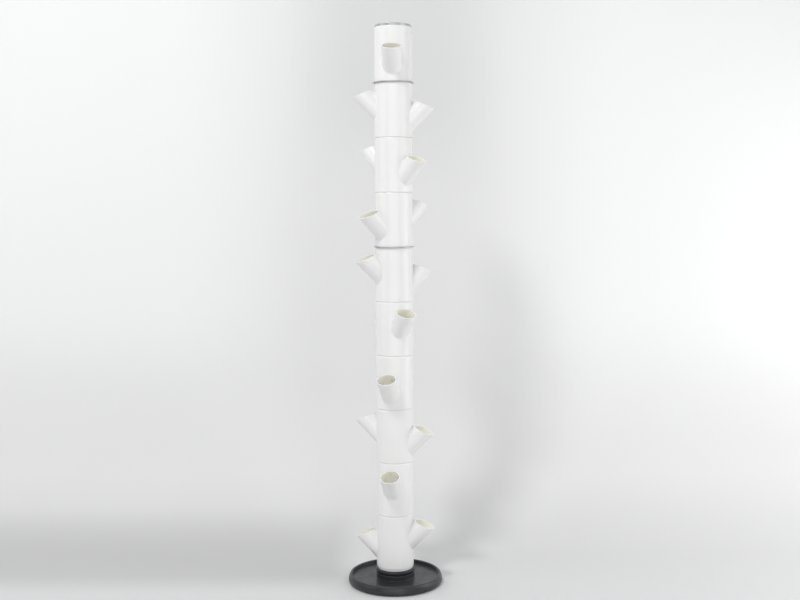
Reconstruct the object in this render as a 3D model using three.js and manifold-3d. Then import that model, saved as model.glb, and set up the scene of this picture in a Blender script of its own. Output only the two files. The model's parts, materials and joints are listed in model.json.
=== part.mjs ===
// Vertical planter tower: ten stacked planting tubes on a saucer, in millimetres, +Z up.
// The origin is on the floor, under the middle of the saucer. The photographed front faces -Y.
import * as THREE from "three";
import { mergeVertices } from "three/addons/utils/BufferGeometryUtils.js";
import Module from "manifold-3d";

const wasm = await Module();
wasm.setup();

const DEGREE = Math.PI / 180;

// How finely round pieces are divided
const TUBE_SIDES = 28;
const POCKET_SIDES = 16;
const DISH_SIDES = 36;
const HOLE_SIDES = 6;
const FOOT_SIDES = 10;
const ROUND_STEPS = 3;
const WELD = 1e-4; // vertices closer than this are one
const OVERRUN = 3; // how far a cut runs past the faces that it opens

// Fits
const SEAT_GAP = 0.3; // between a piece and the face that it rests on
const TURN_CLEARANCE = 0.6; // radial gap of a round piece that turns or lifts out

// Planting tube
const TUBE_RADIUS = 55;
const TUBE_WALL = 5;
const TUBE_HEIGHT = 157; // from the lower edge of the wall to the rim
const TUBE_EDGE = 1.2; // bevel round the rim and the lower edge
const LIP_HEIGHT = 7; // the narrower lip below the wall
const LIP_EDGE = 1;
const SEAM_GAP = 1; // the open groove between two stacked walls

// Planting pockets, two on each tube and opposite each other
const POCKET_RADIUS = 29;
const POCKET_WALL = 3;
const POCKET_TILT = 45 * DEGREE; // of the pocket's axis from upright
const MOUTH_FALL = 22.5 * DEGREE; // how the mouth's plane drops outwards
const MOUTH_STANDOFF = 6; // from the tube to the nearest edge of the mouth
const LOW_POCKET_MARGIN = 18; // from the tube's lower edge up to the low pocket's root
const HIGH_POCKET_MARGIN = 18; // from the tube's inner ledge down to where the high pocket meets the wall

// Which way each tube's high pocket faces, from the bottom up: 0 is the front, 90 the right
const HIGH_POCKET_AZIMUTHS = [78, -9, -105, 165, 23, -68, 127, -131, -90, 177];
const TUBES_UNDER_RINGS = [6, 9]; // counted from the bottom

// Flat ring between two tubes
const RING_OVERHANG = 5.5; // past the tube's wall
const RING_THICKNESS = 2;
const RING_EDGE = 0.4;

// Top lid
const LID_INSET = 2; // from the tube's wall
const LID_HEIGHT = 5.5;
const LID_EDGE = 1;
const LID_TRAY_DEPTH = 3;
const LID_TRAY_RIM = 4;
const LID_HOLE_RADIUS = 2.5;
const LID_HOLE_RINGS = 1;

// Swivel collar
const COLLAR_LEDGE = 2; // how far its flange stands out past the tube
const COLLAR_FLANGE_HEIGHT = 9.5;
const COLLAR_EDGE = 1.5;
const COLLAR_NECK_HEIGHT = 2.5; // the open groove between the flange and the saucer's boss
const COLLAR_NECK_INSET = 4; // from the flange
const COLLAR_GUIDE_HEIGHT = 6; // the ring that stands up into the lowest tube
const COLLAR_GUIDE_WALL = 2.2;
const COLLAR_SPIGOT_DEPTH = 8.5;
const COLLAR_SPIGOT_WALL = 3;
const SIEVE_THICKNESS = 4;
const SIEVE_HOLE_RADIUS = 3;
const SIEVE_HOLE_RINGS = 2;

// Saucer
const DISH_RADIUS = 139.5;
const DISH_SKIRT_INSET = 7.5; // how far the saucer's lower edge stands in
const DISH_SKIRT_WALL = 5;
const DISH_RIM_HEIGHT = 26.2; // from the lower edge to the top of the rim
const DISH_RIM_ROUND = 5.5; // radius of the rolled rim
const DISH_RIM_FLARE = 1.5; // how far the rim's inner side leans out
const DISH_FLOOR_HEIGHT = 16.5; // from the lower edge to the raised floor's top
const DISH_FLOOR_THICKNESS = 3.5;
const BOSS_HEIGHT = 14.5; // above the saucer's floor
const BOSS_INSET = 0.5; // from the collar's flange
const BOSS_WALL = 9;
const BOSS_FILLET = 3;
const DRAIN_WIDTH = 16;
const DRAIN_HEIGHT = 4;
const DRAINS = 2;

// Rubber feet
const FEET = 6;
const FOOT_RADIUS = 10;
const FOOT_PROUD = 1.5; // how far the feet hold the saucer off the floor
const FOOT_RECESS = 1.8; // how deep they sit in its underside
const FOOT_MARGIN = 6; // from the saucer's lower edge
const FOOT_POST_WALL = 3; // of the post under the floor, round each foot

// Sizes that follow
const boreRadius = TUBE_RADIUS - TUBE_WALL;
const lipWall = (TUBE_WALL - TURN_CLEARANCE) / 2;
const lipRadius = boreRadius + lipWall;
const mouthRadius = lipRadius + TURN_CLEARANCE;
const mouthDepth = LIP_HEIGHT - SEAM_GAP + SEAT_GAP;
const guideRadius = boreRadius - TURN_CLEARANCE;
const collarRadius = TUBE_RADIUS + COLLAR_LEDGE;
const bossRadius = collarRadius - BOSS_INSET;
const bossBore = bossRadius - BOSS_WALL;
const spigotRadius = bossBore - TURN_CLEARANCE;
const footCircle = DISH_RADIUS - DISH_SKIRT_INSET - FOOT_MARGIN - FOOT_RADIUS;

// Levels
const dishUnderside = FOOT_PROUD;
const dishFloorTop = dishUnderside + DISH_FLOOR_HEIGHT;
const bossTop = dishFloorTop + BOSS_HEIGHT;
const collarUnderside = bossTop + SEAT_GAP;
const flangeUnderside = collarUnderside + COLLAR_NECK_HEIGHT;
const collarTop = flangeUnderside + COLLAR_FLANGE_HEIGHT;

// Solids

function solidOf(geometry) {
  const bare = geometry.clone();
  bare.deleteAttribute("normal");
  bare.deleteAttribute("uv");
  const merged = mergeVertices(bare, WELD);
  const corners = merged.index.array;
  const triangles = [];
  for (let i = 0; i < corners.length; i += 3) {
    const [a, b, c] = corners.slice(i, i + 3);
    const hasArea = a !== b && b !== c && c !== a;
    if (hasArea) triangles.push(a, b, c);
  }
  return new wasm.Manifold(
    new wasm.Mesh({
      numProp: 3,
      vertProperties: merged.attributes.position.array,
      triVerts: new Uint32Array(triangles),
    }),
  );
}

function geometryOf(solid) {
  const mesh = solid.getMesh();
  const geometry = new THREE.BufferGeometry();
  geometry.setAttribute("position", new THREE.BufferAttribute(mesh.vertProperties, 3));
  geometry.setIndex(new THREE.BufferAttribute(mesh.triVerts, 1));
  geometry.computeVertexNormals();
  return geometry;
}

// A solid of revolution about Z. The outline's [radius, z] points start and end on the axis and
// run up its outer side.
function revolved(outline, sides) {
  const points = outline.map(([radius, z]) => new THREE.Vector2(radius, z));
  const lathe = new THREE.LatheGeometry(points, sides);
  lathe.rotateX(Math.PI / 2);
  return solidOf(lathe);
}

// Points of an arc in an outline; the angles are in degrees, counted from straight outwards.
function arc(radius, z, bend, fromAngle, toAngle) {
  return Array.from({ length: ROUND_STEPS + 1 }, (_, i) => {
    const angle = (fromAngle + ((toAngle - fromAngle) * i) / ROUND_STEPS) * DEGREE;
    return [radius + bend * Math.cos(angle), z + bend * Math.sin(angle)];
  });
}

// An upright round bar between two levels, with its axis at x, y.
function bar(radius, fromZ, toZ, sides, x = 0, y = 0) {
  const cylinder = new THREE.CylinderGeometry(radius, radius, toZ - fromZ, sides);
  cylinder.rotateX(Math.PI / 2);
  cylinder.translate(x, y, (fromZ + toZ) / 2);
  return solidOf(cylinder);
}

// The solid less a middle hole and rings of holes, six more in each ring than in the last.
function perforated(solid, plateRadius, fromZ, toZ, holeRadius, rings) {
  const bottom = fromZ - OVERRUN;
  const top = toZ + OVERRUN;
  let drilled = solid.subtract(bar(holeRadius, bottom, top, HOLE_SIDES));
  for (let ring = 1; ring <= rings; ring += 1) {
    const circle = (plateRadius * ring) / (rings + 1 / 2);
    const holes = 6 * ring;
    for (let i = 0; i < holes; i += 1) {
      const turn = (i * 2 * Math.PI) / holes;
      const hole = bar(
        holeRadius, bottom, top, HOLE_SIDES, circle * Math.cos(turn), circle * Math.sin(turn),
      );
      drilled = drilled.subtract(hole);
    }
  }
  return drilled;
}

// Planting tube, with its wall's lower edge at z = 0 and its high pocket towards +X

const mouthRise = POCKET_RADIUS * Math.tan(POCKET_TILT - MOUTH_FALL);
const mouthHalfRun =
  POCKET_RADIUS * Math.cos(POCKET_TILT) + mouthRise * Math.sin(POCKET_TILT);
const mouthCentreRadius = TUBE_RADIUS + MOUTH_STANDOFF + mouthHalfRun;
const pocketHeightOnWall = (2 * POCKET_RADIUS) / Math.sin(POCKET_TILT);
const lowRoot = LOW_POCKET_MARGIN;
const highRoot = TUBE_HEIGHT - mouthDepth - HIGH_POCKET_MARGIN - pocketHeightOnWall;

// The height at which a pocket's axis would meet the tube's axis.
function pocketAxisLevel(root) {
  return root + pocketHeightOnWall / 2 - TUBE_RADIUS / Math.tan(POCKET_TILT);
}

// A slanted bar along the pocket's axis, from the tube's axis to past the mouth.
function pocketBar(radius, root) {
  const reach = mouthCentreRadius / Math.sin(POCKET_TILT) + mouthRise + OVERRUN;
  const cylinder = new THREE.CylinderGeometry(radius, radius, reach, POCKET_SIDES);
  cylinder.translate(0, reach / 2, 0);
  cylinder.rotateX(Math.PI / 2);
  cylinder.rotateY(POCKET_TILT);
  cylinder.translate(0, 0, pocketAxisLevel(root));
  return solidOf(cylinder);
}

// The block above the mouth's plane, which trims the pocket's wall to it.
function aboveMouth(root) {
  const span = 4 * (POCKET_RADIUS + OVERRUN);
  const block = new THREE.BoxGeometry(span, span, span);
  block.translate(0, 0, span / 2);
  block.rotateY(MOUTH_FALL);
  const mouthLevel = pocketAxisLevel(root) + mouthCentreRadius / Math.tan(POCKET_TILT);
  block.translate(mouthCentreRadius, 0, mouthLevel);
  return solidOf(block);
}

function plantingTubeSolid() {
  const wall = revolved(
    [
      [0, -LIP_HEIGHT],
      [lipRadius - LIP_EDGE, -LIP_HEIGHT],
      [lipRadius, LIP_EDGE - LIP_HEIGHT],
      [lipRadius, 0],
      [TUBE_RADIUS - TUBE_EDGE, 0],
      [TUBE_RADIUS, TUBE_EDGE],
      [TUBE_RADIUS, TUBE_HEIGHT - TUBE_EDGE],
      [TUBE_RADIUS - TUBE_EDGE, TUBE_HEIGHT],
      [0, TUBE_HEIGHT],
    ],
    TUBE_SIDES,
  );
  const inside = revolved(
    [
      [0, -LIP_HEIGHT - POCKET_RADIUS],
      [boreRadius, -LIP_HEIGHT - POCKET_RADIUS],
      [boreRadius, TUBE_HEIGHT - mouthDepth],
      [mouthRadius, TUBE_HEIGHT - mouthDepth],
      [mouthRadius, TUBE_HEIGHT + OVERRUN],
      [0, TUBE_HEIGHT + OVERRUN],
    ],
    TUBE_SIDES,
  );
  const halfTurn = [0, 0, 180];
  const highPocket = pocketBar(POCKET_RADIUS, highRoot).subtract(aboveMouth(highRoot));
  const lowPocket = pocketBar(POCKET_RADIUS, lowRoot).subtract(aboveMouth(lowRoot));
  const pocketBore = POCKET_RADIUS - POCKET_WALL;
  return wall
    .add(highPocket)
    .add(lowPocket.rotate(halfTurn))
    .subtract(inside)
    .subtract(pocketBar(pocketBore, highRoot))
    .subtract(pocketBar(pocketBore, lowRoot).rotate(halfTurn));
}

// Flat ring, with the face that lies on the rim at z = 0; the lip of the tube above goes through it
function spacerRingSolid() {
  const radius = TUBE_RADIUS + RING_OVERHANG;
  const sheet = revolved(
    [
      [0, 0],
      [radius - RING_EDGE, 0],
      [radius, RING_EDGE],
      [radius, RING_THICKNESS - RING_EDGE],
      [radius - RING_EDGE, RING_THICKNESS],
      [0, RING_THICKNESS],
    ],
    TUBE_SIDES,
  );
  return sheet.subtract(bar(mouthRadius, -OVERRUN, RING_THICKNESS + OVERRUN, TUBE_SIDES));
}

// Lid, with the face that stands over the rim at z = 0 and a shallow watering tray on top
function lidSolid() {
  const radius = TUBE_RADIUS - LID_INSET;
  const trayFloor = LID_HEIGHT - LID_TRAY_DEPTH;
  const body = revolved(
    [
      [0, -LIP_HEIGHT],
      [lipRadius, -LIP_HEIGHT],
      [lipRadius, 0],
      [radius, 0],
      [radius, LID_HEIGHT - LID_EDGE],
      [radius - LID_EDGE, LID_HEIGHT],
      [0, LID_HEIGHT],
    ],
    TUBE_SIDES,
  );
  const trayRadius = radius - LID_TRAY_RIM;
  const below = bar(lipRadius - lipWall, -LIP_HEIGHT - OVERRUN, 0, TUBE_SIDES);
  const tray = bar(trayRadius, trayFloor, LID_HEIGHT + OVERRUN, TUBE_SIDES);
  const shell = body.subtract(below).subtract(tray);
  return perforated(shell, trayRadius, 0, trayFloor, LID_HOLE_RADIUS, LID_HOLE_RINGS);
}

// Swivel collar, at its real level: it turns on the saucer's boss and carries the lowest tube
function collarSolid() {
  const guideTop = collarTop + COLLAR_GUIDE_HEIGHT;
  const spigotBottom = collarUnderside - COLLAR_SPIGOT_DEPTH;
  const cupRadius = guideRadius - COLLAR_GUIDE_WALL;
  const neckRadius = collarRadius - COLLAR_NECK_INSET;
  const sieveTop = collarUnderside + SIEVE_THICKNESS;
  const body = revolved(
    [
      [0, spigotBottom],
      [spigotRadius, spigotBottom],
      [spigotRadius, collarUnderside],
      [neckRadius, collarUnderside],
      [neckRadius, flangeUnderside],
      [collarRadius - COLLAR_EDGE, flangeUnderside],
      [collarRadius, flangeUnderside + COLLAR_EDGE],
      [collarRadius, collarTop - COLLAR_EDGE],
      [collarRadius - COLLAR_EDGE, collarTop],
      [guideRadius, collarTop],
      [guideRadius, guideTop],
      [0, guideTop],
    ],
    TUBE_SIDES,
  );
  const spigotBore = spigotRadius - COLLAR_SPIGOT_WALL;
  const below = bar(spigotBore, spigotBottom - OVERRUN, collarUnderside, TUBE_SIDES);
  const cup = bar(cupRadius, sieveTop, guideTop + OVERRUN, TUBE_SIDES);
  const shell = body.subtract(below).subtract(cup);
  return perforated(
    shell, spigotBore, collarUnderside, sieveTop, SIEVE_HOLE_RADIUS, SIEVE_HOLE_RINGS,
  );
}

// Saucer, at its real level: a raised floor in a rolled rim, with the hollow boss that the collar
// turns on and a post over each foot
function dishSolid() {
  const rimCentre = dishUnderside + DISH_RIM_HEIGHT - DISH_RIM_ROUND;
  const rimOuter = DISH_RADIUS - DISH_RIM_ROUND;
  const rimInner = DISH_RADIUS - 2 * DISH_RIM_ROUND;
  const dish = revolved(
    [
      [0, dishUnderside],
      [DISH_RADIUS - DISH_SKIRT_INSET, dishUnderside],
      ...arc(rimOuter, rimCentre, DISH_RIM_ROUND, 0, 180),
      [rimInner - DISH_RIM_FLARE, dishFloorTop],
      ...arc(bossRadius + BOSS_FILLET, dishFloorTop + BOSS_FILLET, BOSS_FILLET, 270, 180),
      [bossRadius, bossTop - COLLAR_EDGE],
      [bossRadius - COLLAR_EDGE, bossTop],
      [0, bossTop],
    ],
    DISH_SIDES,
  );
  const hollowRadius = DISH_RADIUS - DISH_SKIRT_INSET - DISH_SKIRT_WALL;
  const hollowTop = dishFloorTop - DISH_FLOOR_THICKNESS;
  let cut = dish
    .subtract(bar(hollowRadius, dishUnderside - OVERRUN, hollowTop, DISH_SIDES))
    .subtract(bar(bossBore, dishFloorTop, bossTop + OVERRUN, TUBE_SIDES));
  const postTop = dishFloorTop - DISH_FLOOR_THICKNESS / 2;
  for (const [x, y] of footPlaces()) {
    const post = bar(FOOT_RADIUS + FOOT_POST_WALL, dishUnderside, postTop, FOOT_SIDES, x, y);
    cut = cut.add(post);
  }
  const drainReach = bossRadius + BOSS_FILLET + OVERRUN;
  for (let i = 0; i < DRAINS; i += 1) {
    const slot = new THREE.BoxGeometry(drainReach, DRAIN_WIDTH, DRAIN_HEIGHT);
    slot.translate(drainReach / 2, 0, dishFloorTop + DRAIN_HEIGHT / 2);
    slot.rotateZ((i * 2 * Math.PI) / DRAINS);
    cut = cut.subtract(solidOf(slot));
  }
  for (const [x, y] of footPlaces()) {
    const recess = bar(
      FOOT_RADIUS + SEAT_GAP, dishUnderside - OVERRUN, dishUnderside + FOOT_RECESS,
      FOOT_SIDES, x, y,
    );
    cut = cut.subtract(recess);
  }
  return cut;
}

function footPlaces() {
  return Array.from({ length: FEET }, (_, i) => {
    const turn = ((i + 1 / 2) * 2 * Math.PI) / FEET;
    return [footCircle * Math.cos(turn), footCircle * Math.sin(turn)];
  });
}

// Materials

function glossyWhite() {
  return new THREE.MeshStandardMaterial({ color: 0xefefec, roughness: 0.22, metalness: 0 });
}

function satinAnthracite() {
  return new THREE.MeshStandardMaterial({ color: 0x4b4d52, roughness: 0.5, metalness: 0 });
}

function brushedGrey() {
  return new THREE.MeshStandardMaterial({ color: 0x9a9c9f, roughness: 0.35, metalness: 0.8 });
}

function blackRubber() {
  return new THREE.MeshStandardMaterial({ color: 0x1c1c1e, roughness: 0.85, metalness: 0 });
}

// The tower

const tower = new THREE.Group();

function place(name, geometry, material, z = 0, turn = 0) {
  const mesh = new THREE.Mesh(geometry, material);
  mesh.name = name;
  mesh.position.z = z;
  mesh.rotation.z = turn;
  tower.add(mesh);
}

function twoDigits(number) {
  return String(number).padStart(2, "0");
}

place("base_dish", geometryOf(dishSolid()), satinAnthracite());

footPlaces().forEach(([x, y], i) => {
  const top = dishUnderside + FOOT_RECESS - SEAT_GAP;
  const foot = geometryOf(bar(FOOT_RADIUS, 0, top, FOOT_SIDES, x, y));
  place(`dish_foot_${i + 1}`, foot, blackRubber());
});

place("swivel_collar", geometryOf(collarSolid()), satinAnthracite());

const tubeGeometry = geometryOf(plantingTubeSolid());
const ringGeometry = geometryOf(spacerRingSolid());
const ringStep = SEAT_GAP + RING_THICKNESS + SEAT_GAP;
let wallBottom = collarTop + SEAT_GAP + LIP_HEIGHT;
let rim = wallBottom;

HIGH_POCKET_AZIMUTHS.forEach((azimuth, i) => {
  const number = i + 1;
  const turn = (azimuth - 90) * DEGREE;
  place(`planting_tube_${twoDigits(number)}`, tubeGeometry, glossyWhite(), wallBottom, turn);
  rim = wallBottom + TUBE_HEIGHT;
  if (TUBES_UNDER_RINGS.includes(number)) {
    place(`spacer_ring_${twoDigits(number)}`, ringGeometry, brushedGrey(), rim + SEAT_GAP);
    wallBottom = rim + ringStep;
  } else {
    wallBottom = rim + SEAM_GAP;
  }
});

place("top_lid", geometryOf(lidSolid()), brushedGrey(), rim + SEAM_GAP);

export default tower;
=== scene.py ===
# Vertical planter tower: finished surfaces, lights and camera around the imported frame.
# Lengths are in metres and +Z is up. The photographed front faces -Y.
import json
import math

import bpy
import numpy as np
from mathutils import Euler, Matrix, Vector


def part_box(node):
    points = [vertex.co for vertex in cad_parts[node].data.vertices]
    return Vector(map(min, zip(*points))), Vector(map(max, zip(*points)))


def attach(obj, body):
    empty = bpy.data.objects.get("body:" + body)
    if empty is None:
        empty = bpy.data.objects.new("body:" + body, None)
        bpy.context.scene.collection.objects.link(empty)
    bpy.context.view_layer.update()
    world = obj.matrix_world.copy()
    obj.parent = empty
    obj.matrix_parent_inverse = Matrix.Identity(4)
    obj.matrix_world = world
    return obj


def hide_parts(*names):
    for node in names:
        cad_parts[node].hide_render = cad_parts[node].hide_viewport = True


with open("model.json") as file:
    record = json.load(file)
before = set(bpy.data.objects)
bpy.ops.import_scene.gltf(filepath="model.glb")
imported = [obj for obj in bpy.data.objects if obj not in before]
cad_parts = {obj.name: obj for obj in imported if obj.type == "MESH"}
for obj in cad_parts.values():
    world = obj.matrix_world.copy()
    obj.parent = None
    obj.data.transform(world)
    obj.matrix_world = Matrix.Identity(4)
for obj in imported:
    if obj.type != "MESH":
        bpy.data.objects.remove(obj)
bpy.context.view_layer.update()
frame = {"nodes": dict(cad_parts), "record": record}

MM = 0.001
WELD = 1e-4 * MM         # points closer than this are one
CUT_OVERRUN = 1 * MM     # how far a cutter passes the face that it cuts


def add_object(name, data):
    made = bpy.data.objects.new(name, data)
    bpy.context.scene.collection.objects.link(made)
    return made


# Planting tube
TUBE_RADIUS = 55 * MM
BORE_RADIUS = 50 * MM
LIP_RADIUS = 52.2 * MM
MOUTH_RADIUS = 52.8 * MM
MOUTH_DEPTH = 6.3 * MM
LIP_HEIGHT = 7 * MM
SHOULDER_DROP = 2.56 * MM  # the shoulder's slope below the rim, and how far it leans in
SHOULDER_INSET = 2 * MM
SHOULDER_BEND = 9 * MM
RIM_BEND = 0.3 * MM
WALL_DROP = 0.5 * MM     # how far the wall comes down over the seam
LOWER_BEND = 1.6 * MM    # rounding of the wall's lower edge
FINE_BEND = 0.4 * MM     # rounding of the small moulded edges
TUBE_SEGMENTS = 64

# Planting pockets
POCKET_RADIUS = 29 * MM
POCKET_BORE = 26 * MM
POCKET_TILT = math.radians(45)
MOUTH_FALL = math.radians(22.5)  # how far the mouth's plane falls outward
MOUTH_STANDOFF = 6 * MM  # between the tube's wall and the mouth's near edge
LOW_POCKET_MARGIN = 18 * MM  # from the seam up to the low pocket
HIGH_POCKET_MARGIN = 18 * MM  # from the high pocket up to the floor of the tube's mouth
MOUTH_BEND = 1.2 * MM    # rounding of the mouth's two edges
ROOT_BEND = 9 * MM       # fillet under the pocket
CROTCH_BEND = 1.4 * MM   # fillet between the pocket and the tube above it
ROOT_SHARPNESS = 2.5     # how fast the fillet shrinks from under the pocket to the crotch

# Which way each tube's high pocket faces, from the bottom up: 0 is the front, 90 the right
HIGH_POCKET_AZIMUTHS = [78, -9, -105, 165, 23, -68, 127, -131, -90, 177]
SKIN_AZIMUTH = 90        # which way it faces on the skin that all tubes share

# Columns and rows of each pocket's panel of quads
PANEL_ACROSS = TUBE_SEGMENTS // 2
PANEL_UP = 24
WALL_ROWS = 8
FILLET_ROWS = 7
POCKET_ROWS = 5
BORE_ROWS = 5
BEND_STEPS = 4
WALL_CROWDING = 0.8      # below 1, the wall's rows lie closer together near the pocket
FINE_ANGLES = 1441       # angles tried round a pocket to match the panel's border

# Material slots of a tube
OUTSIDE, POCKET_INSIDE, TUBE_INSIDE = 0, 1, 2


# Outlines and meshes

def unit(vector):
    return vector / np.linalg.norm(vector)


def right_of(direction):
    return np.array([direction[1], -direction[0]])


def rounded(corners):
    """Rows (across, up, normal before, normal after) of an outline, each corner rounded by its own bend.

    The outline runs with the material on its left, so its normals point to its right.
    """
    rows = []
    points = [np.array([across, up]) for across, up, _ in corners]
    last = len(corners) - 1
    for i, (_, _, bend) in enumerate(corners):
        before = unit(points[i] - points[i - 1]) if i > 0 else None
        after = unit(points[i + 1] - points[i]) if i < last else None
        if before is None or after is None:
            normal = right_of(after if before is None else before)
            rows.append((points[i], normal, normal))
            continue
        if bend == 0:
            rows.append((points[i], right_of(before), right_of(after)))
            continue
        turn = math.atan2(
            before[0] * after[1] - before[1] * after[0], before[0] * after[0] + before[1] * after[1]
        )
        side = 1 if turn > 0 else -1
        start = points[i] - before * bend * abs(math.tan(turn / 2))
        first_normal = right_of(before)
        centre = start - side * first_normal * bend
        for step in range(BEND_STEPS + 1):
            angle = turn * step / BEND_STEPS
            normal = np.array([
                first_normal[0] * math.cos(angle) - first_normal[1] * math.sin(angle),
                first_normal[0] * math.sin(angle) + first_normal[1] * math.cos(angle),
            ])
            rows.append((centre + side * normal * bend, normal, normal))
    return rows


class Skin:
    """A closed mesh grown from strips of quads, with the true normal of every face corner."""

    def __init__(self):
        self.points = []
        self.found = {}
        self.faces = []
        self.normals = []
        self.slots = []

    def point(self, place):
        key = tuple(int(round(c / WELD)) for c in place)
        if key not in self.found:
            self.found[key] = len(self.points)
            self.points.append(tuple(float(c) for c in place))
        return self.found[key]

    def strip(self, near, near_normals, far, far_normals, slot=OUTSIDE):
        """Quads round the gap between two closed rows of as many points."""
        near_ids = [self.point(p) for p in near]
        far_ids = [self.point(p) for p in far]
        count = len(near_ids)
        for k in range(count):
            after = (k + 1) % count
            ring = [
                (near_ids[k], near_normals[k]), (near_ids[after], near_normals[after]),
                (far_ids[after], far_normals[after]), (far_ids[k], far_normals[k]),
            ]
            kept = [corner for i, corner in enumerate(ring) if corner[0] != ring[i - 1][0]]
            if len(kept) < 3:
                continue
            self.faces.append([corner[0] for corner in kept])
            self.normals.extend(tuple(float(c) for c in corner[1]) for corner in kept)
            self.slots.append(slot)

    def revolve(self, rows, segments):
        """The strips of an outline turned about Z, from an angle of minus a quarter turn."""
        angles = -math.pi / 2 + 2 * math.pi * np.arange(segments) / segments
        around = np.stack([np.cos(angles), np.sin(angles), np.zeros(segments)], -1)
        upward = np.array([0, 0, 1])
        for (near, _, near_normal), (far, far_normal, _) in zip(rows, rows[1:]):
            if np.allclose(near, far, atol=WELD):
                continue
            self.strip(
                around * near[0] + upward * near[1], around * near_normal[0] + upward * near_normal[1],
                around * far[0] + upward * far[1], around * far_normal[0] + upward * far_normal[1],
            )

    def object(self, name, materials, turn=0, lift=0):
        """A new object of this skin, turned about Z and lifted."""
        spin = np.array(Matrix.Rotation(turn, 3, "Z"))
        points = np.array(self.points) @ spin.T + np.array([0, 0, lift])
        normals = np.array(self.normals) @ spin.T
        mesh = bpy.data.meshes.new(name)
        mesh.from_pydata(points.tolist(), [], self.faces)
        for material in materials:
            mesh.materials.append(material)
        mesh.polygons.foreach_set("material_index", self.slots)
        mesh.polygons.foreach_set("use_smooth", [True] * len(self.faces))
        mesh.normals_split_custom_set(normals.tolist())
        mesh.update()
        return add_object(name, mesh)


# Planting tube

MOUTH_SLOPE = math.tan(POCKET_TILT - MOUTH_FALL)
MOUTH_HALF_RUN = POCKET_RADIUS * (math.cos(POCKET_TILT) + MOUTH_SLOPE * math.sin(POCKET_TILT))
MOUTH_CENTRE = (TUBE_RADIUS + MOUTH_STANDOFF + MOUTH_HALF_RUN) / math.sin(POCKET_TILT)
HEIGHT_ON_WALL = 2 * POCKET_RADIUS / math.sin(POCKET_TILT)

AXIS = np.array([math.sin(POCKET_TILT), 0, math.cos(POCKET_TILT)])
BELOW = np.array([math.cos(POCKET_TILT), 0, -math.sin(POCKET_TILT)])
SIDEWAYS = np.array([0, 1, 0])
UP = np.array([0, 0, 1])


def where_bar_meets_tube(angles, bar_radius, tube_radius):
    """How far along its axis a slanted bar's line at each angle meets an upright round wall."""
    outward = np.sqrt(tube_radius ** 2 - (bar_radius * np.sin(angles)) ** 2)
    return (outward - bar_radius * np.cos(angles) * math.cos(POCKET_TILT)) / math.sin(POCKET_TILT)


def bar_points(angles, bar_radius, along, level):
    """Points on the slanted bar; an angle of zero is its underside."""
    side = np.outer(np.cos(angles), BELOW) + np.outer(np.sin(angles), SIDEWAYS)
    return np.outer(along, AXIS) + side * np.reshape(bar_radius, (-1, 1)) + UP * level


def root_bend(angles):
    """The fillet's radius at each angle round the pocket, small in the crotch above it."""
    share_below = (1 + np.cos(angles)) / 2
    return CROTCH_BEND + (ROOT_BEND - CROTCH_BEND) * share_below ** ROOT_SHARPNESS


def fillet_centres(angles, level):
    bend = root_bend(angles)
    along = where_bar_meets_tube(angles, POCKET_RADIUS + bend, TUBE_RADIUS + bend)
    return bar_points(angles, POCKET_RADIUS + bend, along, level), along, bend


def border_points(low, high):
    """Angle and height of the panel's border, anticlockwise from the middle of its lower side."""
    half = PANEL_ACROSS // 2
    quarter_turn = math.pi / 2
    across = np.linspace(-quarter_turn, quarter_turn, PANEL_ACROSS + 1)
    up = np.linspace(low, high, PANEL_UP + 1)
    turns = np.concatenate([
        across[half:], np.full(PANEL_UP, quarter_turn), across[::-1][1:],
        np.full(PANEL_UP, -quarter_turn), across[1:half],
    ])
    heights = np.concatenate([
        np.full(half + 1, low), up[1:], np.full(PANEL_ACROSS, high),
        up[::-1][1:], np.full(half - 1, low),
    ])
    return turns, heights


def on_tube(turns, heights, radius):
    return np.stack([radius * np.cos(turns), radius * np.sin(turns), heights], -1)


def wall_normals(points):
    flat = points * np.array([1, 1, 0])
    return flat / np.linalg.norm(flat, axis=1, keepdims=True)


def matching_angles(turns, heights, level):
    """The angles round the pocket whose fillet foot lies on the ray to each border point."""
    fine = np.linspace(0, 2 * math.pi, FINE_ANGLES)
    centres, _, _ = fillet_centres(fine, level)
    foot_turns = np.arctan2(centres[:, 1], centres[:, 0])
    foot_heights = centres[:, 2]
    middle = (foot_heights.min() + foot_heights.max()) / 2
    bearing = np.unwrap(np.arctan2(foot_turns * TUBE_RADIUS, middle - foot_heights))
    wanted = np.unwrap(np.arctan2(turns * TUBE_RADIUS, middle - heights))
    return np.interp(wanted, bearing, fine)


def lip_outlines(angles):
    """The lip's rounded outline at each angle round the pocket: rows of distance out and along."""
    outlines = []
    for angle in angles:
        rise = MOUTH_SLOPE * math.cos(angle)
        outlines.append(rounded([
            (POCKET_RADIUS, 0, 0),
            (POCKET_RADIUS, MOUTH_CENTRE + POCKET_RADIUS * rise, MOUTH_BEND),
            (POCKET_BORE, MOUTH_CENTRE + POCKET_BORE * rise, MOUTH_BEND),
            (POCKET_BORE, 0, 0),
        ])[1:-1])
    return outlines


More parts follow.
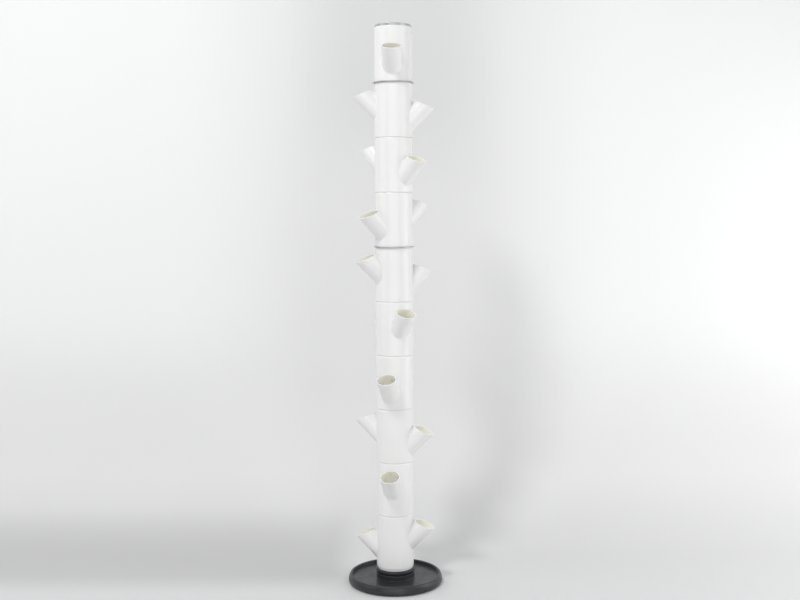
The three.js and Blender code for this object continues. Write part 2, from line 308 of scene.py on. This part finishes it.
def pocket_panel(skin, root, low, high, inner_low, inner_high, facing):
    """Half of the tube's wall, from its border through the pocket's outside and bore to the inside."""
    level = root + HEIGHT_ON_WALL / 2 - TUBE_RADIUS / math.tan(POCKET_TILT)
    turns, heights = border_points(low, high)
    angles = matching_angles(turns, heights, level)
    side = np.outer(np.cos(angles), BELOW) + np.outer(np.sin(angles), SIDEWAYS)
    round_side = np.outer(-np.sin(angles), BELOW) + np.outer(np.cos(angles), SIDEWAYS)
    rows = []

    def add(points, before, after=None, slot=OUTSIDE):
        rows.append((points, before, before if after is None else after, slot))

    # The wall, from the panel's border to the foot of the fillet
    centres, along, bend = fillet_centres(angles, level)
    foot_turns = np.arctan2(centres[:, 1], centres[:, 0])
    for share in np.linspace(0, 1, WALL_ROWS + 1)[:-1] ** WALL_CROWDING:
        row = on_tube(
            turns + (foot_turns - turns) * share, heights + (centres[:, 2] - heights) * share, TUBE_RADIUS
        )
        add(row, wall_normals(row))

    # The fillet, from the wall to the pocket
    from_wall = -wall_normals(centres)
    from_pocket = -side
    spread = np.arccos(np.clip(np.sum(from_wall * from_pocket, axis=1), -1, 1))[:, None]
    for share in np.linspace(0, 1, FILLET_ROWS + 1):
        toward = (
            np.sin((1 - share) * spread) * from_wall + np.sin(share * spread) * from_pocket
        ) / np.sin(spread)
        add(centres + toward * bend[:, None], -toward)

    # The pocket's outside and its rounded mouth
    lip = lip_outlines(angles)
    lip_start = np.array([column[0][0][1] for column in lip])
    for share in np.linspace(0, 1, POCKET_ROWS + 1)[1:-1]:
        add(bar_points(angles, POCKET_RADIUS, along + (lip_start - along) * share, level), side)
    lip_rows = len(lip[0])
    for j in range(lip_rows):
        radii = np.array([column[j][0][0] for column in lip])
        places = np.array([column[j][0][1] for column in lip])
        outward = np.array([column[j][1][0] for column in lip])[:, None]
        forward = np.array([column[j][1][1] for column in lip])[:, None]
        tilt = forward * np.sin(angles)[:, None] * MOUTH_SLOPE
        normal = outward * side + forward * AXIS + tilt * round_side
        normal /= np.linalg.norm(normal, axis=1, keepdims=True)
        slot = POCKET_INSIDE if j == lip_rows - 1 else OUTSIDE
        add(bar_points(angles, radii, places, level), normal, slot=slot)

    # The bore, and from its foot the tube's inside as far as the border
    lip_end = np.array([column[-1][0][1] for column in lip])
    inner_along = where_bar_meets_tube(angles, POCKET_BORE, BORE_RADIUS)
    for share in np.linspace(0, 1, BORE_ROWS + 1)[1:-1]:
        bore_along = lip_end + (inner_along - lip_end) * share
        add(bar_points(angles, POCKET_BORE, bore_along, level), -side, slot=POCKET_INSIDE)
    inner_foot = bar_points(angles, POCKET_BORE, inner_along, level)
    add(inner_foot, -side, -wall_normals(inner_foot), slot=TUBE_INSIDE)

    inner_turns = np.arctan2(inner_foot[:, 1], inner_foot[:, 0])
    _, inner_heights = border_points(inner_low, inner_high)
    for share in np.linspace(0, 1, BORE_ROWS + 1)[1:]:
        row = on_tube(
            inner_turns + (turns - inner_turns) * share,
            inner_foot[:, 2] + (inner_heights - inner_foot[:, 2]) * share, BORE_RADIUS,
        )
        add(row, -wall_normals(row), slot=TUBE_INSIDE)

    flip = np.array([facing, facing, 1])
    for (near, _, near_normal, slot), (far, far_normal, _, _) in zip(rows, rows[1:]):
        skin.strip(near * flip, near_normal * flip, far * flip, far_normal * flip, slot)


def planting_tube_skin(height):
    """The tube with the seam below it at z = 0 and its high pocket towards +X."""
    skin = Skin()
    outer_low, outer_high = 2 * LOWER_BEND, height - SHOULDER_DROP - SHOULDER_BEND
    inner_low, inner_high = -LIP_HEIGHT + LOWER_BEND, height - MOUTH_DEPTH - LOWER_BEND
    low_root = LOW_POCKET_MARGIN
    high_root = height - MOUTH_DEPTH - HIGH_POCKET_MARGIN - HEIGHT_ON_WALL
    for root, facing in ((high_root, 1), (low_root, -1)):
        pocket_panel(skin, root, outer_low, outer_high, inner_low, inner_high, facing)
    rim = rounded([
        (TUBE_RADIUS, outer_high, 0),
        (TUBE_RADIUS, height - SHOULDER_DROP, SHOULDER_BEND),
        (TUBE_RADIUS - SHOULDER_INSET, height, RIM_BEND),
        (MOUTH_RADIUS, height, 0),
        (MOUTH_RADIUS, height - MOUTH_DEPTH, 0),
        (BORE_RADIUS, height - MOUTH_DEPTH, FINE_BEND),
        (BORE_RADIUS, inner_high, 0),
    ])
    skin.revolve(rim, TUBE_SEGMENTS)
    foot = rounded([
        (BORE_RADIUS, inner_low, 0),
        (BORE_RADIUS, -LIP_HEIGHT, FINE_BEND),
        (LIP_RADIUS, -LIP_HEIGHT, LOWER_BEND),
        (LIP_RADIUS, -WALL_DROP, 0),
        (TUBE_RADIUS, -WALL_DROP, LOWER_BEND),
        (TUBE_RADIUS, outer_low, 0),
    ])
    skin.revolve(foot, TUBE_SEGMENTS)
    return skin


# Turned pieces

# Spacer ring and lid
RING_BEND = 0.5 * MM
LID_INSET = 2 * MM
LID_TRAY_DEPTH = 3 * MM
LID_TRAY_RIM = 4 * MM
LID_BEND = 1 * MM
LID_HOLE_RADIUS = 2.5 * MM
LID_HOLE_RINGS = 1

# Swivel collar
GUIDE_RADIUS = 49.4 * MM
GUIDE_WALL = 2.2 * MM
GUIDE_HEIGHT = 6 * MM
FLANGE_HEIGHT = 9.5 * MM
NECK_HEIGHT = 2.5 * MM
NECK_INSET = 4 * MM
COLLAR_BEND = 1.8 * MM
COLLAR_TOP_BEND = 4 * MM
SPIGOT_RADIUS = 46.9 * MM
SPIGOT_WALL = 3 * MM
SIEVE_THICKNESS = 4 * MM
SIEVE_HOLE_RADIUS = 3 * MM
SIEVE_HOLE_RINGS = 2

# Rings of holes in the lid and the sieve
HOLES_PER_RING = 6       # in the first ring, and added in each further one
EDGE_SHARE = 0.5         # of the rings' spacing, left at the plate's edge

# Saucer and feet
DISH_FLOOR_HEIGHT = 16.5 * MM
DISH_FLOOR_THICKNESS = 3.5 * MM
SKIRT_INSET = 7.5 * MM
SKIRT_WALL = 5 * MM
RIM_HEIGHT = 26.2 * MM
SIDE_ROUND = 34 * MM     # the saucer's side in section is an arc of this radius
RIM_ROUND = 4 * MM
RIM_FLARE = 1.5 * MM
BOSS_INSET = 0.5 * MM
BOSS_WALL = 9 * MM
BOSS_FILLET = 1 * MM
DRAIN_WIDTH = 16 * MM
DRAIN_HEIGHT = 4 * MM
DRAINS = 2
FOOT_RECESS = 1.8 * MM
FOOT_POST_WALL = 3 * MM
SEAT_GAP = 0.3 * MM
FOOT_BEND = 0.8 * MM

# Faces round each kind of piece, and the angle from which an edge is sharp
ROUND_SEGMENTS = 96
DISH_SEGMENTS = 144
HOLE_SEGMENTS = 24
FOOT_SEGMENTS = 48
SMOOTH_ANGLE = math.radians(35)


def nodes_called(start):
    return [name for name in frame["nodes"] if name.startswith(start)]


def foot_circle(node):
    """The middle and the radius of a foot."""
    low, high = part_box(node)
    return (low[0] + high[0]) / 2, (low[1] + high[1]) / 2, (high[1] - low[1]) / 2


def turned(name, corners, materials, segments=ROUND_SEGMENTS):
    skin = Skin()
    skin.revolve(rounded(corners), segments)
    return skin.object(name, materials)


def combine(piece, others, operation="DIFFERENCE"):
    """Takes the others out of the piece, or joins them to it, then deletes them."""
    for other in others:
        change = piece.modifiers.new("combine", "BOOLEAN")
        change.operation = operation
        change.solver = "EXACT"
        change.object = other
    depsgraph = bpy.context.evaluated_depsgraph_get()
    mesh = bpy.data.meshes.new_from_object(piece.evaluated_get(depsgraph))
    piece.modifiers.clear()
    old = piece.data
    piece.data = mesh
    mesh.name = piece.name
    bpy.data.meshes.remove(old)
    for other in others:
        bpy.data.objects.remove(other)
    mesh.shade_smooth()
    mesh.set_sharp_from_angle(angle=SMOOTH_ANGLE)


def peg(radius, low, high, x=0, y=0):
    """An upright round cutter."""
    corners = [(0, low, 0), (radius, low, 0), (radius, high, 0), (0, high, 0)]
    made = turned("peg", corners, [], HOLE_SEGMENTS)
    made.data.transform(Matrix.Translation((x, y, 0)))
    return made


def hole_pegs(plate_radius, low, high, hole_radius, rings):
    """Cutters for a middle hole and rings of holes round it, each ring with more holes than the last."""
    pegs = [peg(hole_radius, low, high)]
    for ring in range(1, rings + 1):
        circle = plate_radius * ring / (rings + EDGE_SHARE)
        holes = HOLES_PER_RING * ring
        for i in range(holes):
            turn = 2 * math.pi * i / holes
            pegs.append(peg(hole_radius, low, high, circle * math.cos(turn), circle * math.sin(turn)))
    return pegs


def spacer_ring(node, material):
    """A flat ring round the lip of the tube above it."""
    low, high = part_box(node)
    return turned(f"{node}_finished", [
        (MOUTH_RADIUS, high[2], 0),
        (MOUTH_RADIUS, low[2], 0),
        (high[0], low[2], RING_BEND),
        (high[0], high[2], RING_BEND),
        (MOUTH_RADIUS, high[2], 0),
    ], [material])


def top_lid(material):
    low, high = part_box("top_lid")
    cap_low = low[2] + LIP_HEIGHT
    tray_floor = high[2] - LID_TRAY_DEPTH
    radius = TUBE_RADIUS - LID_INSET
    tray_radius = radius - LID_TRAY_RIM
    piece = turned("top_lid_finished", [
        (0, cap_low, 0),
        (BORE_RADIUS, cap_low, 0),
        (BORE_RADIUS, low[2], FINE_BEND),
        (LIP_RADIUS, low[2], FINE_BEND),
        (LIP_RADIUS, cap_low, 0),
        (radius, cap_low, FINE_BEND),
        (radius, high[2], LID_BEND),
        (tray_radius, high[2], LID_BEND),
        (tray_radius, tray_floor, LID_BEND),
        (0, tray_floor, 0),
    ], [material])
    low_end, high_end = cap_low - CUT_OVERRUN, tray_floor + CUT_OVERRUN
    combine(piece, hole_pegs(tray_radius, low_end, high_end, LID_HOLE_RADIUS, LID_HOLE_RINGS))
    return piece


def swivel_collar(material):
    low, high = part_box("swivel_collar")
    flange_top = high[2] - GUIDE_HEIGHT
    flange_low = flange_top - FLANGE_HEIGHT
    neck_low = flange_low - NECK_HEIGHT
    neck_radius = high[0] - NECK_INSET
    sieve_top = neck_low + SIEVE_THICKNESS
    spigot_bore = SPIGOT_RADIUS - SPIGOT_WALL
    cup_radius = GUIDE_RADIUS - GUIDE_WALL
    piece = turned("swivel_collar_finished", [
        (0, neck_low, 0),
        (spigot_bore, neck_low, 0),
        (spigot_bore, low[2], FINE_BEND),
        (SPIGOT_RADIUS, low[2], FINE_BEND),
        (SPIGOT_RADIUS, neck_low, 0),
        (neck_radius, neck_low, 0),
        (neck_radius, flange_low, 0),
        (high[0], flange_low, COLLAR_BEND),
        (high[0], flange_top, COLLAR_TOP_BEND),
        (GUIDE_RADIUS, flange_top, 0),
        (GUIDE_RADIUS, high[2], FINE_BEND),
        (cup_radius, high[2], FINE_BEND),
        (cup_radius, sieve_top, 0),
        (0, sieve_top, 0),
    ], [material])
    low_end, high_end = neck_low - CUT_OVERRUN, sieve_top + CUT_OVERRUN
    combine(piece, hole_pegs(spigot_bore, low_end, high_end, SIEVE_HOLE_RADIUS, SIEVE_HOLE_RINGS))
    return piece


def base_dish(material):
    """The saucer: raised floor, side that leans in to a rolled rim, hub, and hollow underside.

    A post stands over each foot in the hollow.
    """
    low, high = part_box("base_dish")
    underside, boss_top = low[2], high[2]
    radius = high[0]
    floor_top = underside + DISH_FLOOR_HEIGHT
    hollow_top = floor_top - DISH_FLOOR_THICKNESS
    hollow_radius = radius - SKIRT_INSET - SKIRT_WALL
    boss_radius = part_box("swivel_collar")[1][0] - BOSS_INSET
    boss_bore = boss_radius - BOSS_WALL
    corner_level = underside + SKIRT_INSET

    # The side's arc starts upright at the corner's level and ends where the rim's round begins
    rim_top = underside + RIM_HEIGHT
    rim_centre = rim_top - RIM_ROUND
    rim_reach = SIDE_ROUND - RIM_ROUND
    side_lean = math.asin((rim_centre - corner_level) / rim_reach)
    rim_middle = radius - SIDE_ROUND + rim_reach * math.cos(side_lean)
    rim_inner = rim_middle - RIM_ROUND
    rim_outer = rim_middle + RIM_ROUND * math.tan(math.pi / 4 - side_lean / 2)
    piece = turned("base_dish_finished", [
        (0, hollow_top, 0),
        (hollow_radius, hollow_top, 0),
        (hollow_radius, underside, FINE_BEND),
        (radius, underside, SKIRT_INSET),
        (radius, corner_level + SIDE_ROUND * math.tan(side_lean / 2), SIDE_ROUND),
        (rim_outer, rim_top, RIM_ROUND),
        (rim_inner, rim_top, RIM_ROUND),
        (rim_inner - RIM_FLARE, floor_top, RIM_FLARE),
        (boss_radius, floor_top, BOSS_FILLET),
        (boss_radius, boss_top, COLLAR_BEND),
        (boss_bore, boss_top, FINE_BEND),
        (boss_bore, floor_top, 0),
        (0, floor_top, 0),
    ], [material], DISH_SEGMENTS)

    posts, recesses = [], []
    post_top = floor_top - DISH_FLOOR_THICKNESS / 2
    recess_low, recess_top = underside - CUT_OVERRUN, underside + FOOT_RECESS
    for node in nodes_called("dish_foot"):
        x, y, foot_radius = foot_circle(node)
        posts.append(peg(foot_radius + FOOT_POST_WALL, underside, post_top, x, y))
        recesses.append(peg(foot_radius + SEAT_GAP, recess_low, recess_top, x, y))
    combine(piece, posts, "UNION")
    drains = [drain_cutter(boss_radius + BOSS_FILLET, floor_top, i) for i in range(DRAINS)]
    combine(piece, drains + recesses)
    return piece


def drain_cutter(reach, floor_top, number):
    """A box from inside the hub's bore across its wall, standing on the saucer's floor."""
    start, half_width = BOSS_WALL, DRAIN_WIDTH / 2
    corners = ((start, -half_width), (reach, -half_width), (reach, half_width), (start, half_width))
    points = [(x, y, z) for z in (floor_top, floor_top + DRAIN_HEIGHT) for x, y in corners]
    faces = [(3, 2, 1, 0), (4, 5, 6, 7), (0, 1, 5, 4), (1, 2, 6, 5), (2, 3, 7, 6), (3, 0, 4, 7)]
    mesh = bpy.data.meshes.new("drain")
    mesh.from_pydata(points, [], faces)
    mesh.transform(Matrix.Rotation(number * 2 * math.pi / DRAINS, 4, "Z"))
    return add_object("drain", mesh)


def rubber_foot(node, material):
    low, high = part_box(node)
    x, y, radius = foot_circle(node)
    piece = turned(f"{node}_finished", [
        (0, low[2], 0), (radius, low[2], FOOT_BEND), (radius, high[2], 0), (0, high[2], 0),
    ], [material], FOOT_SEGMENTS)
    piece.data.transform(Matrix.Translation((x, y, 0)))
    return piece


# Materials

POCKET_PAINTED_GLOW = 0.03       # painted light: an emission glow for light that comes through the white wall to the inside
# painted light: the same emission glow, stronger, on the tube's inside
TUBE_PAINTED_GLOW = 0.11
# colour of the painted glow
PAINTED_GLOW_COLOUR = (1, 0.995, 0.95, 1)
WHITE_SHADES = (0.855, 0.855, 0.845), (0.885, 0.885, 0.875)
CREAM_SHADES = (0.90, 0.885, 0.80), (0.94, 0.93, 0.86)
ANTHRACITE_SHADES = (0.018, 0.019, 0.023), (0.027, 0.0285, 0.033)
WATER_MARK = (0.06, 0.061, 0.065)
METAL_SHADES = (0.5, 0.505, 0.515), (0.62, 0.625, 0.635)
RUBBER_SHADES = (0.012, 0.012, 0.013), (0.022, 0.022, 0.024)


class Finish:
    """A Principled material and short calls for the nodes that feed it."""

    def __init__(self, name):
        self.material = bpy.data.materials.new(name)
        self.material.use_nodes = True
        self.tree = self.material.node_tree
        self.shader = self.tree.nodes["Principled BSDF"]
        self.place = self.node("ShaderNodeTexCoord").outputs["Object"]

    def node(self, kind, **settings):
        made = self.tree.nodes.new(kind)
        for key, value in settings.items():
            setattr(made, key, value)
        return made

    def join(self, output, socket):
        self.tree.links.new(output, socket)

    def feed(self, name, output):
        self.join(output, self.shader.inputs[name])

    def set(self, name, value):
        self.shader.inputs[name].default_value = value

    def noise(self, scale, detail, roughness=0.5, stretch=(1, 1, 1)):
        mapping = self.node("ShaderNodeMapping")
        mapping.inputs["Scale"].default_value = stretch
        self.join(self.place, mapping.inputs["Vector"])
        made = self.node("ShaderNodeTexNoise")
        made.inputs["Scale"].default_value = scale
        made.inputs["Detail"].default_value = detail
        made.inputs["Roughness"].default_value = roughness
        self.join(mapping.outputs["Vector"], made.inputs["Vector"])
        return made.outputs["Fac"]

    def across_back_up(self):
        """The object's own X, Y and Z at each point."""
        made = self.node("ShaderNodeSeparateXYZ")
        self.join(self.place, made.inputs["Vector"])
        return made.outputs["X"], made.outputs["Y"], made.outputs["Z"]

    def positive(self, value):
        """The value without its sign."""
        made = self.node("ShaderNodeMath", operation="ABSOLUTE")
        self.join(value, made.inputs[0])
        return made.outputs["Value"]

    def product(self, first, *others):
        for other in others:
            made = self.node("ShaderNodeMath", operation="MULTIPLY")
            self.join(first, made.inputs[0])
            self.join(other, made.inputs[1])
            first = made.outputs["Value"]
        return first

    def fade(self, value, zero_at, one_at):
        """A soft step from 0 to 1 between two values; the first may be the larger one."""
        made = self.node("ShaderNodeMapRange", interpolation_type="SMOOTHSTEP")
        falling = zero_at > one_at
        made.inputs["From Min"].default_value = min(zero_at, one_at)
        made.inputs["From Max"].default_value = max(zero_at, one_at)
        made.inputs["To Min"].default_value = 1 if falling else 0
        made.inputs["To Max"].default_value = 0 if falling else 1
        self.join(value, made.inputs["Value"])
        return made.outputs["Result"]

    def ramp(self, factor, first, second, start=0.3, end=0.7):
        """From the first colour or grey to the second, while the factor goes from start to end."""
        made = self.node("ShaderNodeValToRGB")
        for element, position, value in zip(made.color_ramp.elements, (start, end), (first, second)):
            element.position = position
            element.color = (*value, 1) if isinstance(value, tuple) else (value, value, value, 1)
        self.join(factor, made.inputs["Fac"])
        return made.outputs["Color"]

    def mix(self, factor, first, second):
        made = self.node("ShaderNodeMix", data_type="RGBA")
        self.join(factor, made.inputs["Factor"])
        for socket, value in ((made.inputs["A"], first), (made.inputs["B"], second)):
            if isinstance(value, tuple):
                socket.default_value = (*value, 1)
            else:
                self.join(value, socket)
        return made.outputs["Result"]

    def bump(self, height, distance, strength, below=None):
        made = self.node("ShaderNodeBump")
        made.inputs["Strength"].default_value = strength
        made.inputs["Distance"].default_value = distance
        self.join(height, made.inputs["Height"])
        if below is not None:
            self.join(below, made.inputs["Normal"])
        return made.outputs["Normal"]

    def clear_from_behind(self):
        """Makes the back of each face clear."""
        sides = self.node("ShaderNodeMixShader")
        back_share, front, back = sides.inputs
        self.join(self.node("ShaderNodeNewGeometry").outputs["Backfacing"], back_share)
        self.join(self.shader.outputs["BSDF"], front)
        self.join(self.node("ShaderNodeBsdfTransparent").outputs["BSDF"], back)
        self.join(sides.outputs["Shader"], self.tree.nodes["Material Output"].inputs["Surface"])


def glossy_white():
    """Smooth glossy moulded skin with the faint waviness of a large moulding."""
    finish = Finish("glossy white")
    finish.feed("Base Color", finish.ramp(finish.noise(scale=7, detail=3), *WHITE_SHADES))
    finish.feed("Roughness", finish.ramp(finish.noise(scale=45, detail=4), 0.17, 0.25, end=0.75))
    wave = finish.bump(finish.noise(scale=28, detail=1), distance=0.12 * MM, strength=0.35)
    grain = finish.noise(scale=700, detail=2)
    finish.feed("Normal", finish.bump(grain, distance=0.01 * MM, strength=0.3, below=wave))
    finish.set("IOR", 1.5)
    return finish.material


def cream_inside(name, painted_glow):
    """The warmer, duller inside of the tubes and pockets, with a painted glow that stands in for light
    coming a little through the thin white wall.
    """
    finish = Finish(name)
    finish.feed("Base Color", finish.ramp(finish.noise(scale=16, detail=4), *CREAM_SHADES))
    finish.feed("Roughness", finish.ramp(finish.noise(scale=60, detail=3), 0.32, 0.46))
    grain = finish.noise(scale=300, detail=3)
    finish.feed("Normal", finish.bump(grain, distance=0.03 * MM, strength=0.5))
    # Painted light: the inside emits a faint glow, though it is no lamp.
    finish.set("Emission Color", PAINTED_GLOW_COLOUR)
    finish.set("Emission Strength", painted_glow)
    return finish.material


def satin_anthracite():
    """Fine-grained dark moulding with a trace of dried water marks."""
    finish = Finish("satin anthracite")
    grain = finish.noise(scale=1600, detail=2, roughness=0.6)
    blots = finish.noise(scale=14, detail=5, roughness=0.6)
    mark_share = finish.ramp(blots, 0.0, 0.35, start=0.52, end=0.72)
    base = finish.ramp(grain, *ANTHRACITE_SHADES, start=0.35, end=0.65)
    finish.feed("Base Color", finish.mix(mark_share, base, WATER_MARK))
    finish.feed("Roughness", finish.ramp(finish.noise(scale=38, detail=4), 0.3, 0.42))
    finish.feed("Normal", finish.bump(grain, distance=0.05 * MM, strength=0.5))
    return finish.material


def satin_metal():
    """Grey metal brushed round the axis."""
    finish = Finish("satin metal")
    brushed = finish.noise(scale=60, detail=4, roughness=0.7, stretch=(1, 1, 60))
    finish.feed("Base Color", finish.ramp(brushed, *METAL_SHADES))
    finish.feed("Roughness", finish.ramp(brushed, 0.3, 0.42))
    finish.feed("Normal", finish.bump(brushed, distance=0.02 * MM, strength=0.4))
    finish.set("Metallic", 1)
    return finish.material


def black_rubber():
    finish = Finish("black rubber")
    grain = finish.noise(scale=900, detail=3)
    finish.feed("Base Color", finish.ramp(grain, *RUBBER_SHADES))
    finish.feed("Roughness", finish.ramp(grain, 0.7, 0.85))
    finish.feed("Normal", finish.bump(grain, distance=0.08 * MM, strength=0.5))
    return finish.material


# The tower

def stand_for(piece, node):
    """Rides the finished piece with its node's body and hides the node."""
    body = next(name for name, nodes in frame["record"]["behaviour"]["bodies"].items() if node in nodes)
    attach(piece, body)
    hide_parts(node)


def build_tower():
    # Both cream materials carry a painted glow.
    white, cream = glossy_white(), cream_inside("cream pocket painted glow", POCKET_PAINTED_GLOW)
    tube_cream = cream_inside("cream inside painted glow", TUBE_PAINTED_GLOW)
    anthracite, metal, rubber = satin_anthracite(), satin_metal(), black_rubber()
    low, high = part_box("planting_tube_01")
    skin = planting_tube_skin(high[2] - low[2] - LIP_HEIGHT)
    for number, azimuth in enumerate(HIGH_POCKET_AZIMUTHS, start=1):
        node = f"planting_tube_{number:02d}"
        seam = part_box(node)[0][2] + LIP_HEIGHT
        turn = math.radians(azimuth - SKIN_AZIMUTH)
        piece = skin.object(f"{node}_finished", [white, cream, tube_cream], turn, seam)
        stand_for(piece, node)
    for node in nodes_called("spacer_ring"):
        stand_for(spacer_ring(node, metal), node)
    stand_for(top_lid(metal), "top_lid")
    stand_for(swivel_collar(anthracite), "swivel_collar")
    stand_for(base_dish(anthracite), "base_dish")
    for node in nodes_called("dish_foot"):
        stand_for(rubber_foot(node, rubber), node)


# Stage, lights and camera

PHOTO_WIDTH = 800        # pixels
FOCAL_PIXELS = 1090
SENSOR_WIDTH = 36        # millimetres
AXIS_ABOVE_MIDDLE = 20   # pixels from the picture's middle up to the lens axis
CAMERA_BACK = 3196 * MM
CAMERA_HEIGHT = 1109 * MM
CAMERA_RIGHT = 17.4 * MM
CAMERA_DOWN = math.radians(3.7)
CAMERA_ROLL = math.radians(-0.252)


def add_camera():
    data = bpy.data.cameras.new("camera")
    data.sensor_width = SENSOR_WIDTH
    data.lens = FOCAL_PIXELS * SENSOR_WIDTH / PHOTO_WIDTH
    data.shift_y = -AXIS_ABOVE_MIDDLE / PHOTO_WIDTH
    camera = add_object("camera", data)
    camera.location = (CAMERA_RIGHT, -CAMERA_BACK, CAMERA_HEIGHT)
    aim = Euler((math.pi / 2 - CAMERA_DOWN, 0, 0)).to_matrix()
    camera.rotation_euler = (aim @ Matrix.Rotation(CAMERA_ROLL, 3, "Z")).to_euler()
    bpy.context.scene.camera = camera


# The sweep, in metres from the middle of the tower's foot
SWEEP_HALF_WIDTH = 6
SWEEP_FRONT = -5
SWEEP_BACK = 0.72
SWEEP_BEND = 0.5
SWEEP_TOP = 5
SWEEP_STEPS = 24
FLOOR_END = 6            # of the floor that goes on behind the sweep

# The paper's tones, most of them painted light and shade, and where each one starts and is full
PAPER_SHADES = (0.795, 0.793, 0.795), (0.812, 0.81, 0.812)
# Painted light: paler paper towards the sides, as pools of light from the soft boxes
SIDE_PAINTED_LIGHT = (0.91, 0.91, 0.91)
SIDE_LIGHT_ASIDE = (0.2, 0.85)
SIDE_LIGHT_UP = (0.2, 0.8)
# Painted shade: greyer paper high up behind the tower, a soft halo of shade round its top
HIGH_PAINTED_SHADE = (0.73, 0.73, 0.732)
HIGH_SHADE_ASIDE = (0.42, 0.12)
HIGH_SHADE_UP = (1.05, 1.65)
# Painted shade: the floor and the foot of the bend greyer, where less light falls
FLOOR_PAINTED_SHADE = (0.745, 0.745, 0.748)
FLOOR_SHADE_UP = (0.2, 0.005)
# Painted shadow: a soft grey band on the floor at the left of the tower
BAND_PAINTED_SHADOW = (0.62, 0.62, 0.623)
SHADOW_BAND_ACROSS = (-0.1, -0.22)
SHADOW_BAND_UP = (0.1, 0)
SHADOW_BAND_NEAR = (-0.12, 0.08)
SHADOW_BAND_FAR = (1.2, 0.6)


def pale_paper():
    """Matt paper with painted light and shade: painted paler towards its sides, painted greyer on the
    floor, with a painted shadow band at the left and a painted shade high up.

    Its back is clear, so that the tower shows from behind too.
    """
    finish = Finish("pale paper")
    across, back, up = finish.across_back_up()
    aside = finish.positive(across)
    # painted light: where the sides are painted paler
    side_light_share = finish.product(finish.fade(aside, *SIDE_LIGHT_ASIDE), finish.fade(up, *SIDE_LIGHT_UP))
    # painted shade: the greyer patch high up behind the tower
    high_shade_share = finish.product(finish.fade(aside, *HIGH_SHADE_ASIDE), finish.fade(up, *HIGH_SHADE_UP))
    # painted shadow: the band on the floor at the left
    shadow_band_share = finish.product(
        finish.fade(across, *SHADOW_BAND_ACROSS), finish.fade(up, *SHADOW_BAND_UP),
        finish.fade(back, *SHADOW_BAND_NEAR), finish.fade(back, *SHADOW_BAND_FAR),
    )
    tone = finish.ramp(finish.noise(scale=1.1, detail=2), *PAPER_SHADES)
    tone = finish.mix(side_light_share, tone, SIDE_PAINTED_LIGHT)
    tone = finish.mix(high_shade_share, tone, HIGH_PAINTED_SHADE)
    # painted shade: greyer on the floor
    tone = finish.mix(finish.fade(up, *FLOOR_SHADE_UP), tone, FLOOR_PAINTED_SHADE)
    finish.feed("Base Color", finish.mix(shadow_band_share, tone, BAND_PAINTED_SHADOW))
    finish.set("Roughness", 0.9)
    finish.set("Specular IOR Level", 0.1)
    finish.clear_from_behind()
    return finish.material


def add_sweep():
    """A pale paper sweep: floor, a bend close behind the tower, an upright back, and floor behind it."""
    bend_start = SWEEP_BACK - SWEEP_BEND
    outline = [(SWEEP_FRONT, 0)]
    for i in range(SWEEP_STEPS + 1):
        angle = math.pi / 2 * i / SWEEP_STEPS
        outline.append((bend_start + SWEEP_BEND * math.sin(angle), SWEEP_BEND * (1 - math.cos(angle))))
    outline.append((SWEEP_BACK, SWEEP_TOP))
    rows = outline + [(bend_start, 0), (FLOOR_END, 0)]
    points = [(x, y, z) for y, z in rows for x in (-SWEEP_HALF_WIDTH, SWEEP_HALF_WIDTH)]
    starts = [row for row in range(len(rows) - 1) if row != len(outline) - 1]
    faces = [(2 * row, 2 * row + 1, 2 * row + 3, 2 * row + 2) for row in starts]
    mesh = bpy.data.meshes.new("sweep")
    mesh.from_pydata(points, [], faces)
    mesh.materials.append(pale_paper())
    mesh.shade_smooth()
    add_object("sweep", mesh)


# Soft boxes: name, azimuth (0 is the front, 90 the right), elevation, distance, width, height, watts
SOFT_BOXES = [
    ("key", -31, 52, 3.6, 0.5, 0.5, 44),
    ("left", -70, 15, 2.4, 1.8, 2.2, 11.5),
    ("front", 0, 2, 4.2, 4.4, 3.0, 55),
    ("right", 62, 18, 2.2, 1.4, 1.8, 8.6),
    ("low right", 85, -5, 2.2, 1.2, 1.2, 9.6),
]
LIGHTS_AIM = 0.95        # height of the point that the soft boxes face
WORLD_COLOUR = (0.97, 0.985, 1, 1)
WORLD_STRENGTH = 0.3


def add_soft_box(name, azimuth, elevation, distance, width, height, watts):
    turn, rise = math.radians(azimuth), math.radians(elevation)
    toward = Vector((
        math.cos(rise) * math.sin(turn), -math.cos(rise) * math.cos(turn), math.sin(rise)
    ))
    data = bpy.data.lights.new(name, "AREA")
    data.shape = "RECTANGLE"
    data.size, data.size_y = width, height
    data.energy = watts
    lamp = add_object(name, data)
    lamp.location = Vector((0, 0, LIGHTS_AIM)) + toward * distance
    lamp.rotation_euler = toward.to_track_quat("Z", "Y").to_euler()


def add_lights():
    world = bpy.data.worlds.new("world")
    world.use_nodes = True
    background = world.node_tree.nodes["Background"]
    background.inputs["Color"].default_value = WORLD_COLOUR
    background.inputs["Strength"].default_value = WORLD_STRENGTH
    bpy.context.scene.world = world
    for soft_box in SOFT_BOXES:
        add_soft_box(*soft_box)
    bpy.context.scene.view_settings.view_transform = "Standard"


add_camera()
build_tower()
add_sweep()
add_lights()
